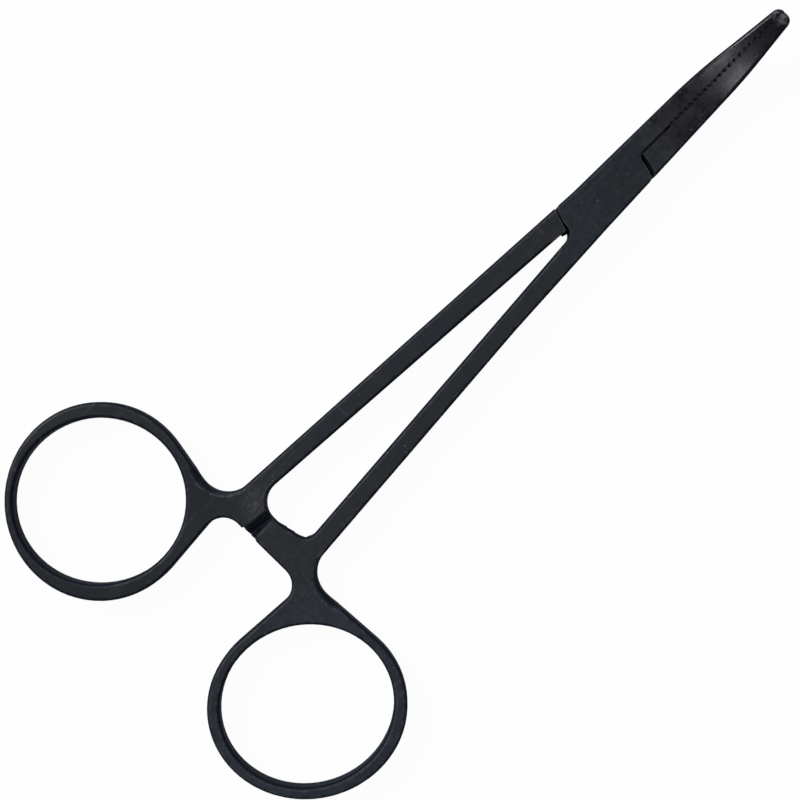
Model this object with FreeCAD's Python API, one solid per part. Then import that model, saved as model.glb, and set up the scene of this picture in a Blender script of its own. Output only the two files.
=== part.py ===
import FreeCAD, Part
import math
import os

from FreeCAD import Vector

# Curved haemostatic forceps with a box lock, a lapped ratchet and two finger rings.
# Frame: the lock pin's axis is Z, +X runs along the closed jaws to the tips, and +Y is the side of the
# male half's ring. Z = 0 is the flat underside of the box lock, and the jaws curve up to +Z.
# The female half runs from the -Y ring through the two lock plates to the +Y jaw. The male half runs
# from the +Y ring through a thin waist between those plates to the -Y jaw.
# All lengths are in millimetres and all angles in degrees.

# Lock
LOCK_THICKNESS = 4.8
LOCK_RADIUS = 7.45
SHOULDER_GAP = 0.8
REAR_SHOULDER_GAP = 0.3
REAR_SHOULDER_TURN = 18.6
WAIST_OVERRUN = 0.3
PLATE_BLEND = 1.3
PLATE_CORNER = 0.9
WAIST_THICKNESS = 1.9
WAIST_CORE_RADIUS = 2.3
WAIST_SIDE_INSET = 0.35
WAIST_REAR_Y = 0.15
SLOT_CLEARANCE = 0.06
OPENING_ANGLE = 45.0
PIN_RADIUS = 1.1
PIN_RUNNING_CLEARANCE = 0.04

# Outer edges of the closed instrument: where each bends at the lock, and their taper along the jaws
PLUS_BEND_X = -3.0
PLUS_BEND_Y = 3.70
MINUS_SHANK_BEND_X = -24.0
MINUS_SHANK_BEND_Y = -4.72
MINUS_BEND_X = -3.0
MINUS_BEND_Y = -3.80
EDGE_BEND_RADIUS = 60.0
PLUS_TAPER_X = 22.8
PLUS_TAPER_Y = 3.10
MINUS_TAPER_X = 27.6
MINUS_TAPER_Y = -2.88
JAW_BEND_RADIUS = 80.0
PLUS_TIP_Y = 1.12
MINUS_TIP_Y = -1.72

# Jaws
TIP_X = 36.9
TIP_CORNER = 1.15
TIP_INNER_CORNER = 0.5
TIP_CORNER_OVERRUN = 0.1
TIP_ANGLE = 32.0
TIP_THICKNESS = 2.1
JAW_TOP_BEND_RADIUS = 30.0
JAW_TOP_BEND_X = 20.0
PARTING_Y = 0.45
PARTING_TURN = -1.1
RELIEF_Y = 0.30
RELIEF_GAP = 0.28
TOOTH_START_X = 14.2
TOOTH_PITCH = 1.0
TOOTH_LAND = 0.08
TOOTH_DEPTH = 0.46
TOOTH_CLEARANCE = 0.06

# Shanks, from the neck behind the ratchet to the lock
SHANK_END_X = -65.0
MALE_SHANK_Y = 7.78
MALE_WIDTH_AT_END = 2.90
MALE_WIDTH_AT_LOCK = 3.53
FEMALE_SHANK_Y = -7.46
FEMALE_WIDTH_AT_END = 3.08
FEMALE_WIDTH_AT_LOCK = 3.22
WIDTH_AT_LOCK_X = -12.0
SHANK_THIN_X = -24.0
SHANK_THICKNESS = 3.7
SHANK_SLOPE_START_X = -9.5
SIDE_BLEND_RADIUS = 45.0
SLOPE_BLEND_RADIUS = 22.5

# Ratchet arms, behind the shanks' ends. A lap starts at a step one root length inside its shank.
ARM_SETBACK = 4.97
ARM_WIDTH = 4.28
ARM_CORNER = 0.7
MALE_ARM_RADIUS = 3.4
FEMALE_ARM_RADIUS = 1.9
FEMALE_ARM_FLARE = 1.3
FEMALE_ARM_REAR_CORNER = 1.0
MALE_ROOT_LENGTH = 1.27
FEMALE_ROOT_LENGTH = 0.86
MALE_LAP_GAP = 1.0
FEMALE_LAP_GAP = 1.9
RATCHET_TURN = -8.0
RATCHET_CLEARANCE = 0.08
RATCHET_START = 0.5
RATCHET_PITCH = 1.35
RATCHET_STEEP_RUN = 0.17
RATCHET_FLAT_ROOT = 0.17
RATCHET_TOOTH_HEIGHT = 0.65
RATCHET_END_LAND = 0.3

# Finger rings and the necks that carry them. Ring and hole are ovals with half axes LONG and SHORT. TURN is
# the long axis's angle from +X. The band is the mean distance between them.
RING_THICKNESS = 3.3
MALE_HOLE_LONG = 13.08
MALE_HOLE_SHORT = 12.58
MALE_HOLE_TURN = -39.0
MALE_HOLE_SHIFT_X = 0.0
MALE_HOLE_SHIFT_Y = 0.12
MALE_BAND = 1.93
MALE_RING_OVALITY = 0.31
MALE_RING_TURN = 46.0
MALE_RING_INNER_Y = 7.31
MALE_RING_LEAD = 2.56
FEMALE_HOLE_LONG = 13.26
FEMALE_HOLE_SHORT = 12.22
FEMALE_HOLE_TURN = -30.0
FEMALE_HOLE_SHIFT_X = 0.09
FEMALE_HOLE_SHIFT_Y = 0.18
FEMALE_BAND = 1.84
FEMALE_RING_OVALITY = 0.63
FEMALE_RING_TURN = -38.0
FEMALE_RING_INNER_Y = 7.52
FEMALE_RING_LEAD = 2.13
MALE_NECK_SETBACK = 9.1
FEMALE_NECK_SETBACK = 7.8
NECK_OUTER_RADIUS = 4.4
MALE_NECK_REAR_STEP = 0.4
FEMALE_NECK_REAR_STEP = 1.2
NECK_REAR_RADIUS = 3.1
NECK_FLANK_ROUND = 1.4
NECK_FLANK_SHIFT = 0.6
NECK_FLANK_START = 0.05

# Rounded edges
EDGE_ROUND = 0.55

# Places that follow from the sizes above
MID_Z = LOCK_THICKNESS / 2
RING_TOP = MID_Z + RING_THICKNESS / 2
RING_BOTTOM = MID_Z - RING_THICKNESS / 2
SHOULDER_RADIUS = LOCK_RADIUS + SHOULDER_GAP
REAR_SHOULDER_DISTANCE = LOCK_RADIUS + REAR_SHOULDER_GAP
WAIST_END_X = SHOULDER_RADIUS + WAIST_OVERRUN
ARM_FRONT_X = SHANK_END_X - ARM_SETBACK
ARM_REAR_X = ARM_FRONT_X - ARM_WIDTH
MALE_STEP_Y = MALE_SHANK_Y - MALE_WIDTH_AT_END - MALE_ROOT_LENGTH
FEMALE_STEP_Y = FEMALE_SHANK_Y + FEMALE_WIDTH_AT_END + FEMALE_ROOT_LENGTH
MALE_ARM_END_Y = FEMALE_STEP_Y + MALE_LAP_GAP
FEMALE_ARM_END_Y = MALE_STEP_Y - FEMALE_LAP_GAP
PLUS_EDGE = [
    (SHANK_END_X, MALE_SHANK_Y),
    (PLUS_BEND_X, PLUS_BEND_Y),
    (PLUS_TAPER_X, PLUS_TAPER_Y),
    (TIP_X, PLUS_TIP_Y),
]
MINUS_EDGE = [
    (SHANK_END_X, FEMALE_SHANK_Y),
    (MINUS_SHANK_BEND_X, MINUS_SHANK_BEND_Y),
    (MINUS_BEND_X, MINUS_BEND_Y),
    (MINUS_TAPER_X, MINUS_TAPER_Y),
    (TIP_X, MINUS_TIP_Y),
]

# Cutting solids run from BELOW to ABOVE and BEYOND to each side, past all of the instrument.
BEYOND = TIP_X - SHANK_END_X
BELOW = -LOCK_THICKNESS
ABOVE = 3 * LOCK_THICKNESS


def unit(a, b):
    """Direction from point a to point b in the plane."""
    length = math.hypot(b[0] - a[0], b[1] - a[1])
    return (b[0] - a[0]) / length, (b[1] - a[1]) / length


def line_y(a, b, x):
    """Height at x of the line through a and b."""
    return a[1] + (b[1] - a[1]) * (x - a[0]) / (b[0] - a[0])


def edge_y(edge, x):
    """Height at x of an edge of straight runs. Its end runs carry on past its ends."""
    k = 1
    while k < len(edge) - 1 and x > edge[k][0]:
        k += 1
    return line_y(edge[k - 1], edge[k], x)


def rounded_wire(corners, place):
    """Closed wire of straight runs whose corners are rounded. A corner is (u, v, radius)."""
    starts, middles, ends = [], [], []
    count = len(corners)
    for i, (u, v, radius) in enumerate(corners):
        back = unit((u, v), corners[i - 1])
        ahead = unit((u, v), corners[(i + 1) % count])
        dot = max(-1.0, min(1.0, back[0] * ahead[0] + back[1] * ahead[1]))
        half = math.acos(dot) / 2
        reach = radius / math.tan(half)
        starts.append((u + back[0] * reach, v + back[1] * reach))
        ends.append((u + ahead[0] * reach, v + ahead[1] * reach))
        bisector = unit((0, 0), (back[0] + ahead[0], back[1] + ahead[1])) if radius else (0, 0)
        drop = radius / math.sin(half) - radius if radius else 0
        middles.append((u + bisector[0] * drop, v + bisector[1] * drop))
    edges = []
    for i, (u, v, radius) in enumerate(corners):
        if radius:
            edges.append(Part.Arc(place(*starts[i]), place(*middles[i]), place(*ends[i])).toShape())
        following = starts[(i + 1) % count]
        if math.dist(ends[i], following) > 1e-6:
            edges.append(Part.LineSegment(place(*ends[i]), place(*following)).toShape())
    return Part.Wire(edges)


def plan_prism(corners, bottom=BELOW, top=ABOVE):
    """Upright solid with a rounded outline in plan."""
    wire = rounded_wire(corners, lambda x, y: Vector(x, y, bottom))
    return Part.Face(wire).extrude(Vector(0, 0, top - bottom))


def side_prism(corners):
    """Solid with a rounded outline seen from the side, running right across in Y."""
    wire = rounded_wire(corners, lambda x, z: Vector(x, -BEYOND, z))
    return Part.Face(wire).extrude(Vector(0, 2 * BEYOND, 0))


def upright_cylinder(radius, bottom=BELOW, top=ABOVE):
    """Upright cylinder about the pin's axis."""
    return Part.makeCylinder(radius, top - bottom, Vector(0, 0, bottom))


def half_plane(a, b, shift=0.0):
    """Everything to the left of the line from a to b, with the line moved to the left by shift."""
    dx, dy = unit(a, b)
    left = (-dy, dx)
    start = (a[0] - dx * BEYOND + left[0] * shift, a[1] - dy * BEYOND + left[1] * shift)
    end = (b[0] + dx * BEYOND + left[0] * shift, b[1] + dy * BEYOND + left[1] * shift)
    far = [(p[0] + left[0] * BEYOND, p[1] + left[1] * BEYOND, 0) for p in (end, start)]
    return plan_prism([(*start, 0), (*end, 0), *far])


def turned(shape, degrees, x=0.0, y=0.0):
    """A copy turned about an upright axis, which is the pin's unless x and y say otherwise."""
    copy = shape.copy()
    copy.rotate(Vector(x, y, 0), Vector(0, 0, 1), degrees)
    return copy


def largest(shape):
    """The largest solid of a shape."""
    return max(shape.Solids, key=lambda s: s.Volume)


def is_wall(face):
    """Whether a face stands upright."""
    low_u, high_u, low_v, high_v = face.ParameterRange
    return abs(face.normalAt((low_u + high_u) / 2, (low_v + high_v) / 2).z) < 1e-6


def round_rims(shape):
    """Rounds every edge where an upright wall meets the top or the underside."""
    rims = []
    for edge in shape.Edges:
        faces = shape.ancestorsOfType(edge, Part.Face)
        if len(faces) == 2 and is_wall(faces[0]) != is_wall(faces[1]):
            rims.append(edge)
    return shape.makeFillet(EDGE_ROUND, rims)


def round_upright(shape, near, radius):
    """Rounds the upright edge that stands nearest to a point in plan."""
    upright = [e for e in shape.Edges if abs(e.tangentAt(e.FirstParameter).z) > 0.999]
    edge = min(upright, key=lambda e: math.dist(near, (e.Vertexes[0].X, e.Vertexes[0].Y)))
    return shape.makeFillet(radius, [edge])


def oval(centre, long, short, turn):
    """Upright oval solid with its half axes and the long one's turn."""
    along = Vector(math.cos(math.radians(turn)), math.sin(math.radians(turn)), 0)
    across = Vector(-along.y, along.x, 0)
    middle = Vector(*centre, BELOW)
    curve = Part.Ellipse(middle + along * long, middle + across * short, middle)
    return Part.Face(Part.Wire(curve.toShape())).extrude(Vector(0, 0, ABOVE - BELOW))


class Ring:
    """Oval finger ring on the side +1 or -1, one band round its hole, behind the ratchet arms."""

    def __init__(self, side, hole, hole_shift, band, ovality, turn, inner_y, lead):
        mean_radius = (hole[0] + hole[1]) / 2 + band
        self.centre = (ARM_REAR_X + lead - mean_radius, side * (inner_y + mean_radius))
        self.long = mean_radius + ovality
        self.short = mean_radius - ovality
        self.turn = turn
        self.hole = hole
        self.hole_centre = (self.centre[0] + hole_shift[0], self.centre[1] + hole_shift[1])

    def solid(self):
        """The ring without its hole."""
        return oval(self.centre, self.long, self.short, self.turn)

    def opening(self):
        """What is cut for the finger."""
        return oval(self.hole_centre, *self.hole)

    def tangent_point(self, point, way):
        """Where a line from the point touches the outer edge, on the side that way (+1 or -1) says."""
        cosine, sine = math.cos(math.radians(self.turn)), math.sin(math.radians(self.turn))
        dx, dy = point[0] - self.centre[0], point[1] - self.centre[1]
        u = (dx * cosine + dy * sine) / self.long
        v = (dy * cosine - dx * sine) / self.short
        angle = math.atan2(v, u) + way * math.acos(1 / math.hypot(u, v))
        u, v = self.long * math.cos(angle), self.short * math.sin(angle)
        return self.centre[0] + u * cosine - v * sine, self.centre[1] + u * sine + v * cosine


class Half:
    """One half's outline. side is +1 where its ring and shank lie on +Y and its jaw on -Y, otherwise -1."""

    def __init__(self, side, edge, far_edge, width_at_end, width_at_lock, ring, neck_setback, rear_step):
        self.side = side
        self.edge = edge
        self.far_edge = far_edge
        self.ring = ring
        outer_x = SHANK_END_X - neck_setback
        # Where the shank's outer edge, carried on, meets the neck's outer and rear edges
        self.outer_corner = (outer_x, edge_y(edge, outer_x))
        self.rear_corner = (ARM_REAR_X, edge[0][1] + side * rear_step)
        self.inner_edge = [
            (SHANK_END_X, edge[0][1] - side * width_at_end),
            (WIDTH_AT_LOCK_X, edge_y(edge, WIDTH_AT_LOCK_X) - side * width_at_lock),
        ]

    def flank_cutter(self):
        """What rounds the neck's outer flank, where the shank's flat face runs out into the ring."""
        corner = self.outer_corner
        to_ring = unit(corner, self.ring.tangent_point(corner, self.side))
        to_shank = unit(corner, self.edge[0])
        bisector = unit((0, 0), (to_ring[0] + to_shank[0], to_ring[1] + to_shank[1]))
        half_sine = math.sqrt((1 - to_ring[0] * to_shank[0] - to_ring[1] * to_shank[1]) / 2)
        reach = NECK_OUTER_RADIUS / half_sine
        x = corner[0] + bisector[0] * reach + to_ring[0] * NECK_FLANK_SHIFT
        y = corner[1] + bisector[1] * reach + to_ring[1] * NECK_FLANK_SHIFT
        wall = NECK_OUTER_RADIUS - NECK_FLANK_START
        size = NECK_FLANK_ROUND
        low = RING_TOP - size
        middle = size * (1 - math.sqrt(0.5))
        arc = Part.Arc(
            Vector(x + wall, y, low),
            Vector(x + wall + middle, y, RING_TOP - middle),
            Vector(x + wall + size, y, RING_TOP),
        )
        outline = Part.makePolygon(
            [
                Vector(x + wall + size, y, RING_TOP),
                Vector(x + wall + size, y, ABOVE),
                Vector(x, y, ABOVE),
                Vector(x, y, low),
                Vector(x + wall, y, low),
            ]
        )
        profile = Part.Wire([arc.toShape(), *outline.Edges])
        upper = Part.Face(profile).revolve(Vector(x, y, 0), Vector(0, 0, 1), 360)
        lower = upper.mirror(Vector(0, 0, MID_Z), Vector(0, 0, 1))
        return Part.makeCompound([upper, lower])

    def blank(self, arm):
        """The half before machining, edges rounded: ring, neck, arm, shank, full-width lock and jaws.

        arm lists the ratchet arm's corners from the shank's inner edge round to its rear edge.
        """
        side = self.side
        # The far side of the full width ends in waste behind the lock, which is cut away later.
        waste_corner = 2 * EDGE_ROUND
        rear_x = -SHOULDER_RADIUS - 2 * waste_corner
        end_radii = [EDGE_BEND_RADIUS, JAW_BEND_RADIUS, TIP_CORNER]
        far_side = [(x, y, r) for (x, y), r in zip(self.far_edge[-3:], end_radii)]
        bend_radii = [EDGE_BEND_RADIUS] * (len(self.edge) - 1 - len(end_radii)) + end_radii
        near_side = [(x, y, r) for (x, y), r in zip(self.edge[1:], bend_radii)]
        corners = [
            (rear_x, edge_y(self.inner_edge, rear_x), waste_corner),
            *arm,
            (*self.rear_corner, NECK_REAR_RADIUS),
            (*self.ring.tangent_point(self.rear_corner, -side), 0),
            (*self.ring.centre, 0),
            (*self.ring.tangent_point(self.outer_corner, side), 0),
            (*self.outer_corner, NECK_OUTER_RADIUS),
            *near_side,
            *reversed(far_side),
            (rear_x, edge_y(self.far_edge, rear_x), waste_corner),
        ]
        plan = plan_prism(corners).fuse(self.ring.solid()).cut(self.ring.opening()).removeSplitter()
        return round_rims(largest(plan.common(thickness_blank())))


def jaw_corners():
    """X where the slanted tip's top and underside, carried on straight, meet those of the lock."""
    angle = math.radians(TIP_ANGLE)
    top = JAW_TOP_BEND_X + JAW_TOP_BEND_RADIUS * math.tan(angle / 2)
    return top, top - (LOCK_THICKNESS - TIP_THICKNESS / math.cos(angle)) / math.tan(angle)


def jaw_bottom_radius():
    """Radius of the underside's bend, which starts at the shoulder."""
    return (jaw_corners()[1] - SHOULDER_RADIUS) / math.tan(math.radians(TIP_ANGLE / 2))


def thickness_blank():
    """The instrument's side outline: flat rings, thin shanks, thick lock, jaws that curve up and taper."""
    slope = math.tan(math.radians(TIP_ANGLE))
    top_corner, bottom_corner = jaw_corners()
    front_x = TIP_X + LOCK_THICKNESS
    rear_x = ARM_REAR_X - BEYOND
    return side_prism(
        [
            (rear_x, RING_BOTTOM, 0),
            (SHANK_END_X, RING_BOTTOM, SIDE_BLEND_RADIUS),
            (SHANK_THIN_X, MID_Z - SHANK_THICKNESS / 2, SIDE_BLEND_RADIUS),
            (SHANK_SLOPE_START_X, 0, SLOPE_BLEND_RADIUS),
            (bottom_corner, 0, jaw_bottom_radius()),
            (front_x, (front_x - bottom_corner) * slope, 0),
            (front_x, LOCK_THICKNESS + (front_x - top_corner) * slope, 0),
            (top_corner, LOCK_THICKNESS, JAW_TOP_BEND_RADIUS),
            (SHANK_SLOPE_START_X, LOCK_THICKNESS, SLOPE_BLEND_RADIUS),
            (SHANK_THIN_X, MID_Z + SHANK_THICKNESS / 2, SIDE_BLEND_RADIUS),
            (SHANK_END_X, RING_TOP, SIDE_BLEND_RADIUS),
            (rear_x, RING_TOP, 0),
        ]
    )


def rear_of_shoulder():
    """Everything behind the male half's straight rear shoulder."""
    turn = math.radians(REAR_SHOULDER_TURN)
    foot = (-REAR_SHOULDER_DISTANCE * math.cos(turn), REAR_SHOULDER_DISTANCE * math.sin(turn))
    ahead = (foot[0] + math.sin(turn), foot[1] + math.cos(turn))
    return half_plane(foot, ahead)


def circle_tangent(point, way):
    """Where a line from the point touches the waist's core circle, on the side that way says."""
    angle = math.atan2(point[1], point[0]) + way * math.acos(WAIST_CORE_RADIUS / math.hypot(*point))
    return WAIST_CORE_RADIUS * math.cos(angle), WAIST_CORE_RADIUS * math.sin(angle)


def waist_side():
    """The waist's -Y side, from the rear shoulder round the core to the front shoulder."""
    rear = (-WAIST_END_X, WAIST_REAR_Y)
    front = (WAIST_END_X, edge_y(MINUS_EDGE, WAIST_END_X) + WAIST_SIDE_INSET)
    return rear, circle_tangent(rear, 1), circle_tangent(front, -1), front


def waist(bottom, top):
    """The male half's thin middle, the same after half a turn about the pin."""
    side = waist_side()
    corners = [(x, y, 0) for x, y in side] + [(-x, -y, 0) for x, y in side]
    core = upright_cylinder(WAIST_CORE_RADIUS, bottom, top)
    return plan_prism(corners, bottom, top).fuse(core).removeSplitter()


def web():
    """The -Y web that joins the two lock plates, clear of the waist from closed to fully open."""
    rear, rear_tangent, front_tangent, front = waist_side()
    below_waist = half_plane(rear_tangent, rear, SLOT_CLEARANCE)
    swept = turned(half_plane(front_tangent, front, -SLOT_CLEARANCE), -OPENING_ANGLE)
    return below_waist.cut(swept)


def waist_slot():
    """What is cut from the female half's lock so that the waist can turn in it."""
    half_height = WAIST_THICKNESS / 2 + SLOT_CLEARANCE
    slab = upright_cylinder(2 * LOCK_RADIUS, MID_Z - half_height, MID_Z + half_height)
    minus_web = web()
    return slab.cut(minus_web).cut(turned(minus_web, 180))


def plate():
    """Outline of the lock plates: a disc about the pin, as wide as the closed instrument."""
    strip = plan_prism([(x, y, 0) for x, y in PLUS_EDGE + MINUS_EDGE[::-1]])
    disc = strip.common(upright_cylinder(LOCK_RADIUS))
    disc = round_upright(disc, (LOCK_RADIUS, -LOCK_RADIUS), PLATE_CORNER)
    return round_upright(disc, (-LOCK_RADIUS, LOCK_RADIUS), PLATE_CORNER)


def bend(x, start, radius):
    """Height and slope angle at x of a line that bends upward from start, up to the tip angle."""
    steepest = math.radians(TIP_ANGLE)
    end = start + radius * math.sin(steepest)
    if x <= start:
        return 0.0, 0.0
    if x >= end:
        return radius * (1 - math.cos(steepest)) + (x - end) * math.tan(steepest), steepest
    angle = math.asin((x - start) / radius)
    return radius * (1 - math.cos(angle)), angle


def jaw_middle(x):
    """Height and slope angle of the jaws' middle at x."""
    low, low_angle = bend(x, SHOULDER_RADIUS, jaw_bottom_radius())
    high, high_angle = bend(x, JAW_TOP_BEND_X, JAW_TOP_BEND_RADIUS)
    return (low + high + LOCK_THICKNESS) / 2, (low_angle + high_angle) / 2


def tooth_ridge_y(side):
    """Y of the tooth ridges' narrow lands, across the parting line from the jaw they belong to."""
    return PARTING_Y + side * (TOOTH_DEPTH * (1 - 2 * TOOTH_LAND / TOOTH_PITCH) - TOOTH_CLEARANCE) / 2


def groove(x, section):
    """One V groove's cutting solid at x, square to the curved jaw. The section is (along, y) points."""
    height, angle = jaw_middle(x)
    along = Vector(math.cos(angle), 0, math.sin(angle))
    across = Vector(-math.sin(angle), 0, math.cos(angle))
    base = Vector(x, 0, height) - across * LOCK_THICKNESS
    points = [base + along * s + Vector(0, y, 0) for s, y in section]
    return Part.Face(Part.makePolygon([*points, points[0]])).extrude(across * 2 * LOCK_THICKNESS)


def grooves(side, phase):
    """V grooves across a jaw's inner face, one pitch apart, from phase pitches past the first tooth."""
    ridge_y = tooth_ridge_y(side)
    root_y = PARTING_Y - side * (TOOTH_DEPTH + TOOTH_CLEARANCE) / 2
    outside_y = ridge_y + side * TOOTH_DEPTH
    half_width = (TOOTH_PITCH - TOOTH_LAND) / 2
    flank = [(half_width, ridge_y), (half_width, outside_y)]
    section = [(-s, y) for s, y in reversed(flank)] + [(0, root_y)] + flank
    cutters = []
    steps_per_tooth = 20
    step = TOOTH_PITCH / steps_per_tooth
    x = TOOTH_START_X
    distance = 0.0
    while x < TIP_X + TOOTH_PITCH:
        if distance > (phase + len(cutters)) * TOOTH_PITCH - step / 2:
            cutters.append(groove(x, section))
        x += step * math.cos(jaw_middle(x)[1])
        distance += step
    return along_parting(Part.makeCompound(cutters))


def along_parting(shape):
    """Turns what is laid out along +X to run along the jaws' parting line."""
    return turned(shape, PARTING_TURN, TOOTH_START_X, PARTING_Y)


def jaw_cutter(side):
    """What is cut from a jaw's inner side: the relief gap, the toothed face and the tip's rounded corner.

    side is +1 for the cut from the male half, whose jaw lies on -Y, and -1 for the female half.
    """
    relief_y = RELIEF_Y - side * RELIEF_GAP / 2
    ridge_y = tooth_ridge_y(side)
    tip_y = ridge_y - side * 2 * TIP_INNER_CORNER
    first_tooth_x = TOOTH_START_X if side > 0 else TOOTH_START_X + TOOTH_PITCH / 2
    # The corner's round ends a little past the tip, so that it meets the tip's end at an angle.
    corner_x = TIP_X + TIP_CORNER_OVERRUN
    cutter = plan_prism(
        [
            (0, relief_y, 0),
            (first_tooth_x, relief_y, 0),
            (first_tooth_x, ridge_y, 0),
            (corner_x, ridge_y, TIP_INNER_CORNER),
            (corner_x, tip_y, 0),
            (corner_x + BEYOND, tip_y, 0),
            (corner_x + BEYOND, side * BEYOND, 0),
            (0, side * BEYOND, 0),
        ]
    )
    return along_parting(cutter)


def saw_line(start_y, end_y):
    """Ratchet teeth between a lap's two ends as (y, z) points, crests at z = 0 and roots below."""
    way = 1 if end_y > start_y else -1
    room = abs(end_y - start_y) - RATCHET_START - RATCHET_END_LAND
    gentle_run = RATCHET_PITCH - RATCHET_STEEP_RUN - RATCHET_FLAT_ROOT
    points = [(start_y, -RATCHET_TOOTH_HEIGHT)]
    for k in range(int(room / RATCHET_PITCH)):
        crest = start_y + way * (RATCHET_START + k * RATCHET_PITCH)
        points.append((crest - way * RATCHET_STEEP_RUN, -RATCHET_TOOTH_HEIGHT))
        points.append((crest, 0))
        points.append((crest + way * gentle_run, -RATCHET_TOOTH_HEIGHT))
    return points


def ratchet_cutter(side):
    """What is cut from an arm to leave its toothed lap: above for the male half, below for the female."""
    if side > 0:
        line = saw_line(MALE_STEP_Y, MALE_ARM_END_Y)
        far_y = FEMALE_STEP_Y
    else:
        line = saw_line(FEMALE_STEP_Y, FEMALE_ARM_END_Y)
        far_y = MALE_STEP_Y
    rear_x = ARM_REAR_X - ARM_WIDTH
    crest_z = MID_Z - side * RATCHET_CLEARANCE / 2
    outside_z = MID_Z + side * LOCK_THICKNESS
    points = [Vector(rear_x, y, crest_z + side * z) for y, z in line]
    points.append(Vector(rear_x, far_y, crest_z - side * RATCHET_TOOTH_HEIGHT))
    points.append(Vector(rear_x, far_y, outside_z))
    points.append(Vector(rear_x, line[0][0], outside_z))
    face = Part.Face(Part.makePolygon([*points, points[0]]))
    teeth = face.extrude(Vector(3 * ARM_WIDTH, 0, 0))
    return turned(teeth, RATCHET_TURN, (ARM_FRONT_X + ARM_REAR_X) / 2, MALE_STEP_Y)


def make_female():
    """-Y ring, neck, upper ratchet lap, shank, two lock plates with their webs, and the +Y jaw."""
    ring = Ring(
        side=-1,
        hole=(FEMALE_HOLE_LONG, FEMALE_HOLE_SHORT, FEMALE_HOLE_TURN),
        hole_shift=(FEMALE_HOLE_SHIFT_X, FEMALE_HOLE_SHIFT_Y),
        band=FEMALE_BAND,
        ovality=FEMALE_RING_OVALITY,
        turn=FEMALE_RING_TURN,
        inner_y=FEMALE_RING_INNER_Y,
        lead=FEMALE_RING_LEAD,
    )
    half = Half(
        -1, MINUS_EDGE, PLUS_EDGE, FEMALE_WIDTH_AT_END, FEMALE_WIDTH_AT_LOCK, ring,
        FEMALE_NECK_SETBACK, FEMALE_NECK_REAR_STEP,
    )
    root_x = ARM_FRONT_X + FEMALE_ARM_FLARE
    blank = half.blank(
        [
            (root_x, edge_y(half.inner_edge, root_x), FEMALE_ARM_RADIUS),
            (ARM_FRONT_X, FEMALE_ARM_END_Y, ARM_CORNER),
            (ARM_REAR_X, FEMALE_ARM_END_Y, FEMALE_ARM_REAR_CORNER),
        ]
    )
    shape = blank.cut(half.flank_cutter())
    disc = plate()
    a, b = half.inner_edge
    rear_notch = half_plane(a, b).common(half_plane((0, 0), (0, 1)))
    rear_notch = largest(rear_notch.common(half_plane((b[0], 1), (b[0], 0))).cut(disc))
    rear_notch = round_upright(rear_notch, (-LOCK_RADIUS, b[1]), PLATE_BLEND)
    jaw_side = largest(jaw_cutter(-1).cut(disc).common(half_plane((0, 1), (0, 0))))
    jaw_side = round_upright(jaw_side, (LOCK_RADIUS, RELIEF_Y), PLATE_BLEND)
    shape = shape.cut(rear_notch).cut(jaw_side).cut(waist_slot())
    shape = shape.cut(grooves(-1, 0.5)).cut(ratchet_cutter(-1))
    return shape.cut(upright_cylinder(PIN_RADIUS))


def make_male():
    """+Y ring, neck, lower ratchet lap, shank, the waist between the lock plates, and the -Y jaw."""
    ring = Ring(
        side=1,
        hole=(MALE_HOLE_LONG, MALE_HOLE_SHORT, MALE_HOLE_TURN),
        hole_shift=(MALE_HOLE_SHIFT_X, MALE_HOLE_SHIFT_Y),
        band=MALE_BAND,
        ovality=MALE_RING_OVALITY,
        turn=MALE_RING_TURN,
        inner_y=MALE_RING_INNER_Y,
        lead=MALE_RING_LEAD,
    )
    half = Half(
        1, PLUS_EDGE, MINUS_EDGE, MALE_WIDTH_AT_END, MALE_WIDTH_AT_LOCK, ring,
        MALE_NECK_SETBACK, MALE_NECK_REAR_STEP,
    )
    blank = half.blank(
        [
            (ARM_FRONT_X, edge_y(half.inner_edge, ARM_FRONT_X), MALE_ARM_RADIUS),
            (ARM_FRONT_X, MALE_ARM_END_Y, ARM_CORNER),
            (ARM_REAR_X, MALE_ARM_END_Y, ARM_CORNER),
        ]
    )
    a, b = half.inner_edge
    rear_notch = half_plane(b, a).common(half_plane((b[0], 1), (b[0], 0)))
    shank = blank.common(rear_of_shoulder()).cut(rear_notch).cut(half.flank_cutter()).cut(ratchet_cutter(1))
    jaw = blank.common(half_plane((0, 1), (0, 0))).cut(upright_cylinder(SHOULDER_RADIUS))
    jaw = jaw.cut(jaw_cutter(1)).cut(grooves(1, 0.0))
    middle = waist(MID_Z - WAIST_THICKNESS / 2, MID_Z + WAIST_THICKNESS / 2)
    shape = middle.fuse([largest(shank), largest(jaw)])
    return shape.cut(upright_cylinder(PIN_RADIUS + PIN_RUNNING_CLEARANCE)).removeSplitter()


def make_pin():
    """The flush rivet through both lock plates and the waist."""
    return upright_cylinder(PIN_RADIUS, 0, LOCK_THICKNESS)


def main():
    """Writes each piece to its own file."""
    os.makedirs("parts", exist_ok=True)
    parts = {"female_half": make_female(), "male_half": make_male(), "lock_pin": make_pin()}
    for name, shape in parts.items():
        print(name, shape.isValid(), len(shape.Solids), len(shape.Faces), round(shape.Volume, 1))
        largest(shape).exportStep(f"parts/{name}.step")


main()
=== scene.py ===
import math

import bpy
from mathutils import Matrix, Vector

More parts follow.
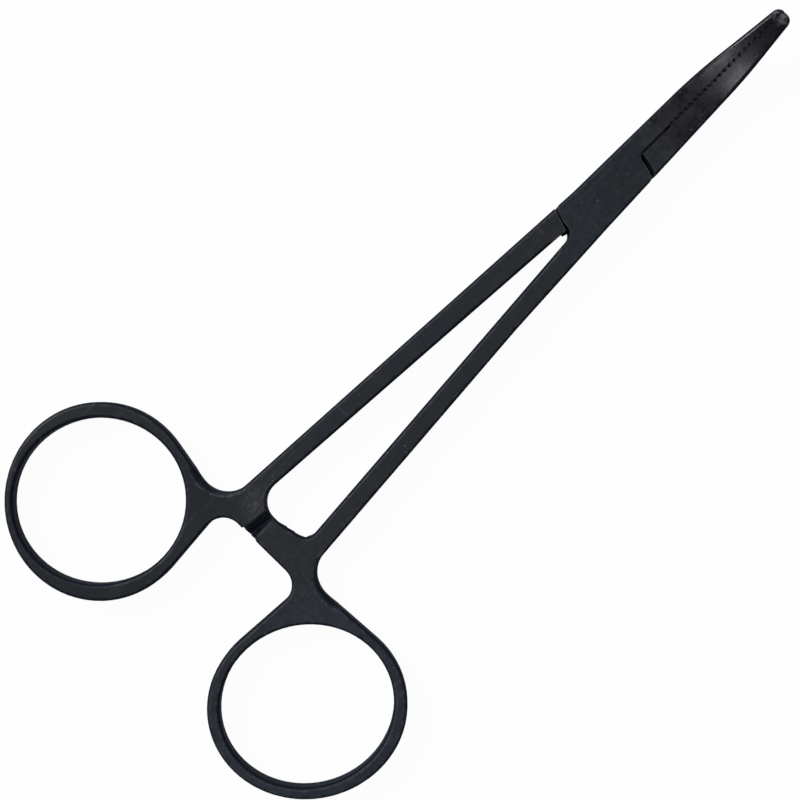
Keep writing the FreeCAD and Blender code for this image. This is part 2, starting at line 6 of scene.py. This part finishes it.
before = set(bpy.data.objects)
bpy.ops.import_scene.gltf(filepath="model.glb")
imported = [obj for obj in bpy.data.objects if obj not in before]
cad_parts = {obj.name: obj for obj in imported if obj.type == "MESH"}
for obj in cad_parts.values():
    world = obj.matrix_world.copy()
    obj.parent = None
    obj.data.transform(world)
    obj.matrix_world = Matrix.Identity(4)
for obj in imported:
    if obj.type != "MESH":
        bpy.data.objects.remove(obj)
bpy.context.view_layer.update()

# Sizes are in metres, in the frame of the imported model: +X to the jaw tips, +Y to the male ring, +Z up.
# A fade is the width over which a mask goes from 0 to 1. Colours are linear red, green, blue and alpha.
# A range gives two values of a measure and, where they follow, what the measure becomes there.

# The camera looks straight down on the point in the picture's middle.
PIXELS = 800
PIXEL_SIZE = 0.151e-3
SENSOR = 36.0
PICTURE_MIDDLE = Vector((-0.0437, 0.0004, 0.004))
CAMERA_PLACE = Vector((-0.0437, 0.0004, 0.224))
PICTURE_TURN = math.radians(45.57)
CLIP_RANGE = (0.01, 10)

# Lamps: target, degrees off the vertical, degrees round from +X, distance, side and radiance
KEY_LAMP = ((-0.04, 0, 0), 52, 100, 1.2, 0.45, 18.5)
TOP_LAMP = ((0.028, 0, 0.007), 7.5, 152, 1.2, 0.34, 6.8)

# The surround's light by how far up a direction points, and its colour where the camera sees it
SURROUND_HEIGHTS = (0.30, 0.97)
SURROUND_LIGHT = ((0.09, 0.12, 0.17, 1), (0.26, 0.28, 0.33, 1))
SEEN_SURROUND = (0.8, 0.8, 0.8, 1)

# Places on the instrument
RING_X = -0.074
REAR_X = -0.060
LOCK_REACH = 0.009
LOCK_RADIUS = 0.00745
SHOULDER_RADIUS = 0.0083
PIN_RADIUS = 0.0011
JAW_START_X = 0.008
JAW_WIDTH = 0.0026
TEETH_START_X = 0.0142
TOOTH_PITCH = 0.001
PARTING_Y = 0.0003
TOOTH_REACH = 0.0005
TOOTH_FADE = 0.0002
TOOTH_ROW = (PARTING_Y - TOOTH_REACH, PARTING_Y + TOOTH_REACH, TOOTH_FADE)
TIP_PLACE = (0.0369, -0.0003, 0.0085)
# How far the worn coating and painted highlight at the tips reach
TIP_HIGHLIGHT_AND_WEAR_REACH = 0.0024
RATCHET_PLACE = (-0.0697, 0.0040, 0.004)
RATCHET_REACH = 0.0042

# A chip in the coating of the lock plate, by the pin
CHIP_PLACE = (-0.00146, 0.00017, 0.0048)
CHIP_RADIUS = 0.00011

# The floor, and where it is painted dark as shadow, under the jaws and inside the lock, where it shows only
# through the narrow gaps above it
FLOOR_HALF = 4.0
FLOOR_GLOW = 0.96
FLOOR_WHITE = (0.9, 0.9, 0.9, 1)
GLOW_WHITE = (1, 1, 1, 1)
# Painted shadow: the floor's colour under the jaws and inside the lock
FLOOR_PAINTED_SHADOW = (0.12, 0.12, 0.13, 1)
JAW_SHADOW_STRIP = (JAW_START_X, 0.0325, 0.0005)
LOCK_SHADOW_CENTRE = (0.0006, 0, 0)
LOCK_SHADOW_EDGE = (0.0078, 0.0080, 1.0, 0.0)
LOCK_SHADOW_WIDTH = (-0.0030, 0.0030, 0.0003)

# Noises in features per metre: soft clouds, brown tint, patches, fine blotches, grain and specks
CLOUDS = 320.0
TINT = 110.0
PATCHES = 1000.0
BLOTCHES = 2600.0
GRAIN = 5200.0
SPECKS = 1900.0
SCRATCHES_ALONG = (60.0, 1500.0, 300.0)
SCRATCHES_ACROSS = (1300.0, 110.0, 300.0)
STROKES = (900.0, 2600.0, 300.0)
STROKE_TURN = -0.2

# The coating's colours, each pair from its dark to its light blotches
LOCK_BLUE = ((0.0024, 0.0060, 0.0090, 1), (0.0116, 0.0172, 0.0218, 1))
BROWN = ((0.0034, 0.0032, 0.0050, 1), (0.0136, 0.0126, 0.0158, 1))
# Painted light on the female ring and painted shade on the male ring
FEMALE_RING_PAINTED_LIGHT = ((0.008, 0.012, 0.020, 1), (0.021, 0.028, 0.042, 1))
MALE_RING_PAINTED_SHADE = (0.0006, 0.0026, 0.0060, 1)
SHANK_BLACK = (0.0016, 0.0026, 0.0052, 1)
# Painted shade on the jaw tips
TIP_PAINTED_SHADE = (0.0022, 0.0018, 0.0026, 1)
# Painted reflection and shade: a dark navy on the walls
WALL_PAINTED_REFLECTION = (0.0004, 0.0040, 0.0130, 1)
SCRATCH_GREY = (0.050, 0.054, 0.060, 1)
# Worn steel, and painted highlights on the rims and at the tips
WEAR_AND_HIGHLIGHT_GREY = (0.115, 0.118, 0.122, 1)
# Painted shade along the parting line, in the tooth pits and inside the lock
PAINTED_SHADE_BLACK = (0.0004, 0.0004, 0.0006, 1)

# Where each colour lies, and how much of it
MOTTLE = (0.82, 1.18)
SHANKS = (-0.058, -0.014, 0.006)
SHANK_SHARE = 0.5
REAR_BROWN = (REAR_X + 0.004, REAR_X - 0.004, 0.0, 0.6)
TINT_BROWN = (0.45, 0.62, 0.0, 0.6)
RINGS = (RING_X + 0.004, RING_X)
MALE_SIDE = (-0.004, 0.012)
MALE_RING_SHARE = 0.8
FEMALE_SIDE = (-0.006, -0.014)
FEMALE_RING_SHARE = 0.5
# Where the painted shade on the jaw tips lies
TIP_SHADE_SPAN = (0.029, 0.032, 0.0, 0.75)
SCRATCH_SHARE = 0.30

# How level the surface is on the walls and on the rounded rims
WALL_LEVEL = (0.955, 0.78)
RIM_LEVEL = (0.968, 0.988, 0.012)

# Wear and painted highlights: what each noise or measure becomes
LONG_SCRATCH = (0.62, 0.72)
CROSS_SCRATCH = (0.66, 0.75)
SPECK_WEAR = (0.75, 0.79, 0.0, 0.6)
# Painted highlight: a light line along the rounded rims, in patches
RIM_PAINTED_HIGHLIGHT = (0.42, 0.66, 0.03, 0.36)
EDGE_REACH = 0.00020
EDGE_SAMPLES = 4
EDGE_LEAN = (0.94, 0.86)
EDGE_WEAR = (0.35, 0.60, 0.12, 0.50)
PIN_EDGE = (PIN_RADIUS + 0.0002, PIN_RADIUS + 0.0005)
SHOULDERS = (LOCK_RADIUS - 0.0003, SHOULDER_RADIUS + 0.0003, 0.0002)
SHOULDER_WEAR = 0.3
RATCHET_WORN = (RATCHET_REACH * 0.3, RATCHET_REACH, 1.0, 0.0)
STROKE_WEAR = (0.44, 0.70, 0.04, 0.36)
# Worn coating and painted highlight: light blotches at the jaw tips
TIP_HIGHLIGHT_AND_WEAR_FALLOFF = (TIP_HIGHLIGHT_AND_WEAR_REACH * 0.5, TIP_HIGHLIGHT_AND_WEAR_REACH, 1.0, 0.0)
TIP_HIGHLIGHT_AND_WEAR_PATCHES = (0.44, 0.58, 0.0, 0.8)
CHIP_WORN = (CHIP_RADIUS * 0.6, CHIP_RADIUS, 0.9, 0.0)

# Painted shade along the parting line and in its row of pits
SLIT_START = (JAW_START_X - 0.0004, JAW_START_X + 0.0002)
SEAM_LEAN = (0.999, 0.95)
PIT_SPAN = (0.30, 0.70, 0.10)
PIT_ROW = (PARTING_Y - 0.00012, PARTING_Y + 0.00022, 0.00010)
PIT_SLANT = -0.0003
PIT_START = (TEETH_START_X - 0.0002, TEETH_START_X)
PIT_DEPTHS = (0.30, 0.45)

# The faces inside the lock, painted black as shade
INSIDE_LEVEL = (0.80, 0.95)
INSIDE_HEIGHT = (0.0013, 0.0035, 0.0003)
INSIDE_LENGTH = (-LOCK_REACH, LOCK_REACH, 0.0002)

# Gloss and relief
BODY_ROUGHNESS = (0.3, 0.7, 0.50, 0.64)
JAW_ROUGHNESS = (0.0, JAW_WIDTH, 0.34, 0.22)
JAW_UNEVENNESS = (0.3, 0.7, -0.03, 0.05)
SPECULAR_LEVEL = 0.28
CLOUD_RELIEF = 0.8
SCRATCH_RELIEF = 0.5
BUMP_STRENGTH = 0.24
BUMP_HEIGHT = 0.00004

# Pieces that lie in one face share a seed, so that the coating runs on from one to the other.
SEEDS = {"female_half": 0.0, "male_half": 1.0, "lock_pin": 0.0}


def add_to_scene(name, data):
    """A new object in the scene."""
    made = bpy.data.objects.new(name, data)
    bpy.context.scene.collection.objects.link(made)
    return made


def make_camera():
    """The photograph's view: from above, the instrument's axis rising to the right across the picture."""
    back = (CAMERA_PLACE - PICTURE_MIDDLE).normalized()
    top = Vector((math.sin(PICTURE_TURN), math.cos(PICTURE_TURN), 0))
    right = top.cross(back).normalized()
    up = back.cross(right)
    turn = Matrix((right, up, back)).transposed().to_4x4()
    distance = (CAMERA_PLACE - PICTURE_MIDDLE).length
    camera = add_to_scene("camera", bpy.data.cameras.new("camera"))
    camera.matrix_world = Matrix.Translation(CAMERA_PLACE) @ turn
    camera.data.sensor_width = SENSOR
    camera.data.lens = SENSOR * distance / (PIXEL_SIZE * PIXELS)
    camera.data.clip_start, camera.data.clip_end = CLIP_RANGE
    bpy.context.scene.camera = camera


def add_lamp(name, target, off_vertical, azimuth, distance, size, radiance):
    """A square soft box seen from its target at two angles in degrees: off the vertical, and from +X."""
    tilt, turn = math.radians(off_vertical), math.radians(azimuth)
    away = Vector((math.sin(tilt) * math.cos(turn), math.sin(tilt) * math.sin(turn), math.cos(tilt)))
    lamp = add_to_scene(name, bpy.data.lights.new(name, "AREA"))
    lamp.data.size = size
    lamp.data.energy = radiance * math.pi * size * size
    lamp.location = Vector(target) + away * distance
    lamp.rotation_mode = "QUATERNION"
    lamp.rotation_quaternion = away.to_track_quat("Z", "Y")


class Graph:
    """Short calls for building a node tree."""

    def __init__(self, tree):
        self.nodes, self.links = tree.nodes, tree.links

    def node(self, kind, settings=None, **inputs):
        """A node with its settings, and inputs by name or _number as values or as other nodes' outputs."""
        made = self.nodes.new("ShaderNode" + kind)
        for key, value in (settings or {}).items():
            setattr(made, key, value)
        for key, value in inputs.items():
            self.put(value, made.inputs[int(key[1:]) if key[0] == "_" else key])
        return made

    def put(self, value, socket):
        """Sets a socket to a value, or links another node's output to it."""
        if isinstance(value, bpy.types.NodeSocket):
            self.links.new(value, socket)
        else:
            socket.default_value = value

    def noise(self, place, scale, detail, roughness=0.55):
        """A noise of about 0 to 1 over the place."""
        return self.node("TexNoise", Vector=place, Scale=scale, Detail=detail, Roughness=roughness).outputs[0]

    def ramp(self, value, low, high, start=0.0, end=1.0):
        """Value mapped smoothly from low..high onto start..end, and held outside."""
        made = self.node("MapRange", {"interpolation_type": "SMOOTHSTEP"}, _0=value)
        for index, number in ((1, low), (2, high), (3, start), (4, end)):
            made.inputs[index].default_value = number
        return made.outputs[0]

    def band(self, value, low, high, fade):
        """1 where the value lies between low and high, fading to 0 on either side."""
        return self.product(self.ramp(value, low - fade, low), self.ramp(value, high, high + fade, 1.0, 0.0))

    def math(self, operation, a, b=0.0):
        return self.node("Math", {"operation": operation}, _0=a, _1=b).outputs[0]

    def joined(self, operation, values):
        """The values joined in turn by one operation."""
        result = values[0]
        for value in values[1:]:
            result = self.math(operation, result, value)
        return result

    def product(self, *values):
        return self.joined("MULTIPLY", values)

    def most(self, *values):
        """The greatest of the values."""
        return self.joined("MAXIMUM", values)

    def less(self, a, b):
        """a less b."""
        return self.math("SUBTRACT", a, b)

    def blend(self, share, a, b):
        """Number a where share is 0 and number b where it is 1."""
        return self.node("Mix", _0=share, _2=a, _3=b).outputs[0]

    def mix(self, share, a, b):
        """Colour a where share is 0 and colour b where it is 1."""
        return self.node("Mix", {"data_type": "RGBA"}, _0=share, _6=a, _7=b).outputs[2]

    def vector(self, operation, output, *values):
        """An output of a vector operation on the values."""
        inputs = {"_%d" % index: value for index, value in enumerate(values)}
        return self.node("VectorMath", {"operation": operation}, **inputs).outputs[output]

    def stretched(self, place, scale, turn=0.0):
        """A place turned about the upright axis and scaled along each axis."""
        turned = self.node("Mapping", _0=place, Rotation=(0.0, 0.0, turn)).outputs[0]
        return self.node("Mapping", _0=turned, Scale=scale).outputs[0]


def make_surround():
    """A world that lights weakly from above and darkens towards the horizon."""
    world = bpy.data.worlds.new("surround")
    bpy.context.scene.world = world
    world.use_nodes = True
    graph = Graph(world.node_tree)
    graph.nodes.clear()
    direction = graph.node("TexCoord").outputs["Generated"]
    height = graph.node("SeparateXYZ", _0=direction).outputs["Z"]
    ramp = graph.node("ValToRGB", _0=height)
    for element, position, colour in zip(ramp.color_ramp.elements, SURROUND_HEIGHTS, SURROUND_LIGHT):
        element.position = position
        element.color = colour
    light = graph.node("Background", Color=ramp.outputs[0]).outputs[0]
    seen = graph.node("Background", Color=SEEN_SURROUND).outputs[0]
    by_camera = graph.node("LightPath").outputs["Is Camera Ray"]
    mix = graph.node("MixShader", _0=by_camera, _1=light, _2=seen).outputs[0]
    graph.node("OutputWorld", Surface=mix)


def new_material(name):
    """A material with the usual starting nodes."""
    material = bpy.data.materials.new(name)
    material.use_nodes = True
    return material


def white_table():
    """White to the camera and in reflections, and painted dark as shadow where it shows through the narrow gaps.
    """
    material = new_material("floor")
    graph = Graph(material.node_tree)
    under = graph.node("TexCoord").outputs["Object"]
    x, y, _ = graph.node("SeparateXYZ", _0=under).outputs
    jaw_shadow = graph.product(graph.band(x, *JAW_SHADOW_STRIP), graph.band(y, *TOOTH_ROW))
    from_centre = graph.vector("DISTANCE", "Value", under, LOCK_SHADOW_CENTRE)
    lock_shadow = graph.product(graph.ramp(from_centre, *LOCK_SHADOW_EDGE), graph.band(y, *LOCK_SHADOW_WIDTH))
    painted_shadow = graph.most(jaw_shadow, lock_shadow)
    # Painted shadow: the floor is given a dark colour under the jaws and inside the lock, where its glow is also
    # turned off.
    matt = graph.node("BsdfDiffuse", Color=graph.mix(painted_shadow, FLOOR_WHITE, FLOOR_PAINTED_SHADOW)).outputs[0]
    glow = graph.node("Emission", Color=GLOW_WHITE).outputs[0]
    path = graph.node("LightPath").outputs
    seen = graph.most(path["Is Camera Ray"], path["Is Glossy Ray"], path["Is Transmission Ray"])
    share = graph.product(seen, graph.less(1.0, painted_shadow), FLOOR_GLOW)
    mix = graph.node("MixShader", _0=share, _1=matt, _2=glow).outputs[0]
    graph.nodes.remove(graph.nodes["Principled BSDF"])
    graph.put(mix, graph.nodes["Material Output"].inputs["Surface"])
    return material


def make_floor():
    """A white table with the instrument's faint soft shadow."""
    half = FLOOR_HALF
    corners = [(-half, -half, 0), (half, -half, 0), (half, half, 0), (-half, half, 0)]
    mesh = bpy.data.meshes.new("floor")
    mesh.from_pydata(corners, [], [(0, 1, 2, 3)])
    floor = add_to_scene("floor", mesh)
    mesh.materials.append(white_table())


class Coating(Graph):
    """Satin black coating on steel: blotches, grain, hairline scratches and worn edges, with painted light and
    shade on walls, rings, tips, rims, the parting line, the tooth pits and inside the lock.
    """

    def __init__(self, name, seed):
        self.material = new_material(name)
        super().__init__(self.material.node_tree)
        coordinates = self.node("TexCoord").outputs
        self.raw = coordinates["Object"]
        self.place = self.vector("ADD", 0, self.raw, (seed, seed, seed))
        self.x, self.y, self.z = self.node("SeparateXYZ", _0=self.raw).outputs
        self.clouds = self.noise(self.place, CLOUDS, 4.0, 0.6)
        self.patches = self.noise(self.place, PATCHES, 3.0, 0.6)
        self.jaw = self.ramp(self.x, JAW_START_X, TEETH_START_X)
        self.level = self.find_level(coordinates["Normal"])
        self.wall = self.ramp(self.level, *WALL_LEVEL)
        self.lean = self.find_lean()
        self.slit = self.product(self.ramp(self.x, *SLIT_START), self.band(self.y, *TOOTH_ROW))
        self.painted_shade = self.most(self.pits(), self.inside())
        self.scratches = self.find_scratches()
        self.finish()

    def find_level(self, normal):
        """1 on the upper and lower faces and 0 on the walls. The curved jaws count as level lengthwise."""
        _, sideways, upward = self.node("SeparateXYZ", _0=normal).outputs
        unturned = self.math("SQRT", self.less(1.0, self.math("POWER", sideways, 2.0)))
        return self.blend(self.jaw, self.math("ABSOLUTE", upward), unturned)

    def find_lean(self):
        """1 on flat faces and less near sharp edges: the cosine between a bevelled normal and the true one."""
        bevel = self.node("Bevel", {"samples": EDGE_SAMPLES}, Radius=EDGE_REACH).outputs[0]
        normal = self.node("NewGeometry").outputs["Normal"]
        return self.vector("DOT_PRODUCT", "Value", bevel, normal)

    def find_scratches(self):
        """Hairlines along and across the piece."""
        along = self.noise(self.stretched(self.place, SCRATCHES_ALONG), 1.0, 4.0)
        across = self.noise(self.stretched(self.place, SCRATCHES_ACROSS), 1.0, 4.0)
        return self.most(self.ramp(along, *LONG_SCRATCH), self.ramp(across, *CROSS_SCRATCH))

    def pits(self):
        """Painted shade along the parting line and in the grooves' open ends: one dark pit to a tooth, in a row
        that leans across it.
        """
        seam = self.product(self.ramp(self.lean, *SEAM_LEAN), self.slit)
        past_first = self.less(self.x, TEETH_START_X)
        tooth = self.math("FRACT", self.math("DIVIDE", past_first, TOOTH_PITCH))
        leaning_y = self.math("ADD", self.y, self.product(self.less(tooth, 0.5), PIT_SLANT))
        row = self.product(
            self.band(tooth, *PIT_SPAN),
            self.band(leaning_y, *PIT_ROW),
            self.ramp(self.x, *PIT_START),
            self.ramp(self.patches, *PIT_DEPTHS),
        )
        return self.most(seam, row)

    def inside(self):
        """The level faces inside the lock, which only show through its gaps, painted black as shade."""
        return self.product(
            self.ramp(self.level, *INSIDE_LEVEL),
            self.band(self.z, *INSIDE_HEIGHT),
            self.band(self.x, *INSIDE_LENGTH),
        )

    def wear_and_highlights(self):
        """Where the steel shows through worn coating: specks, sharp edges, the ratchet's step, the jaw tips and
        a chip; and painted highlights along the rims and at the jaw tips.
        """
        from_pin = self.vector("LENGTH", "Value", self.stretched(self.raw, (1.0, 1.0, 0.0)))
        sharp = self.product(self.ramp(self.lean, *EDGE_LEAN), self.ramp(from_pin, *PIN_EDGE))
        shoulder = self.product(self.band(from_pin, *SHOULDERS), SHOULDER_WEAR)
        edge_wear = self.math("ADD", self.ramp(self.patches, *EDGE_WEAR), shoulder)
        step = self.ramp(self.vector("DISTANCE", "Value", self.raw, RATCHET_PLACE), *RATCHET_WORN)
        strokes = self.noise(self.stretched(self.place, STROKES, STROKE_TURN), 1.0, 4.0)
        tip = self.ramp(self.vector("DISTANCE", "Value", self.raw, TIP_PLACE), *TIP_HIGHLIGHT_AND_WEAR_FALLOFF)
        return self.most(
            self.ramp(self.noise(self.place, SPECKS, 1.0), *SPECK_WEAR),
            # Painted highlight along the rims
            self.product(self.band(self.level, *RIM_LEVEL), self.ramp(self.patches, *RIM_PAINTED_HIGHLIGHT)),
            self.product(step, self.ramp(strokes, *STROKE_WEAR)),
            # Worn coating and painted highlight at the jaw tips
            self.product(tip, self.ramp(self.patches, *TIP_HIGHLIGHT_AND_WEAR_PATCHES)),
            self.ramp(self.vector("DISTANCE", "Value", self.raw, CHIP_PLACE), *CHIP_WORN),
            self.product(sharp, self.less(1.0, self.slit), edge_wear),
        )

    def colour(self):
        """Blue-grey on the lock, browner on the jaws, at the rear and in patches, with all else laid over it,
        painted light and shade among it.
        """
        blotches = self.math("ADD", self.patches, self.noise(self.place, BLOTCHES, 2.0, 0.6))
        mottle = self.ramp(self.math("ADD", self.clouds, self.product(blotches, 0.5)), *MOTTLE)
        tint = self.ramp(self.noise(self.place, TINT, 2.0), *TINT_BROWN)
        brown = self.most(self.jaw, self.ramp(self.x, *REAR_BROWN), tint)
        rings = self.ramp(self.x, *RINGS)
        layers = (
            (self.product(self.band(self.x, *SHANKS), SHANK_SHARE), SHANK_BLACK),
            (brown, self.mix(mottle, *BROWN)),
            # Painted shade on the male ring, then painted light on the female ring
            (self.product(rings, self.ramp(self.y, *MALE_SIDE), MALE_RING_SHARE), MALE_RING_PAINTED_SHADE),
            (
                self.product(rings, self.ramp(self.y, *FEMALE_SIDE), FEMALE_RING_SHARE),
                self.mix(mottle, *FEMALE_RING_PAINTED_LIGHT),
            ),
            # Painted shade on the jaw tips
            (self.ramp(self.x, *TIP_SHADE_SPAN), TIP_PAINTED_SHADE),
            # Painted dark navy reflection on the walls
            (self.wall, WALL_PAINTED_REFLECTION),
            (self.product(self.scratches, SCRATCH_SHARE), SCRATCH_GREY),
            # Worn steel, and painted highlights on the rims and at the tips
            (self.wear_and_highlights(), WEAR_AND_HIGHLIGHT_GREY),
            # Painted shade along the parting line, in the tooth pits and inside the lock
            (self.painted_shade, PAINTED_SHADE_BLACK),
        )
        colour = self.mix(mottle, *LOCK_BLUE)
        for share, layer in layers:
            colour = self.mix(share, colour, layer)
        return colour

    def roughness(self):
        """The jaws are smoother than the rest, and smoothest towards their outer edges. Walls are dull."""
        outward = self.math("ABSOLUTE", self.less(self.y, PARTING_Y))
        unevenness = self.ramp(self.patches, *JAW_UNEVENNESS)
        jaw = self.math("ADD", self.ramp(outward, *JAW_ROUGHNESS), unevenness)
        body = self.ramp(self.clouds, *BODY_ROUGHNESS)
        return self.most(self.blend(self.jaw, body, jaw), self.painted_shade, self.wall)

    def relief(self):
        """The grain and the clouds stand up a little, and the scratches lie a little lower."""
        grain = self.noise(self.place, GRAIN, 2.0)
        height = self.math("ADD", grain, self.product(self.clouds, CLOUD_RELIEF))
        height = self.less(height, self.product(self.scratches, SCRATCH_RELIEF))
        return self.node("Bump", Strength=BUMP_STRENGTH, Distance=BUMP_HEIGHT, Height=height).outputs[0]

    def finish(self):
        """Sets the shader's inputs."""
        shader = self.nodes["Principled BSDF"].inputs
        self.put(self.colour(), shader["Base Color"])
        self.put(self.roughness(), shader["Roughness"])
        self.put(self.relief(), shader["Normal"])
        shader["Metallic"].default_value = 0.0
        shader["Specular IOR Level"].default_value = SPECULAR_LEVEL


def dress(node_name, material):
    """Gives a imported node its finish."""
    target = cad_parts[node_name]
    target.data.materials.clear()
    target.data.materials.append(material)


def main():
    """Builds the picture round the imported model."""
    bpy.context.scene.view_settings.view_transform = "Standard"
    make_camera()
    add_lamp("key", *KEY_LAMP)
    add_lamp("top", *TOP_LAMP)
    make_surround()
    make_floor()
    for name, seed in SEEDS.items():
        dress(name, Coating(name + "_coating", seed).material)


main()
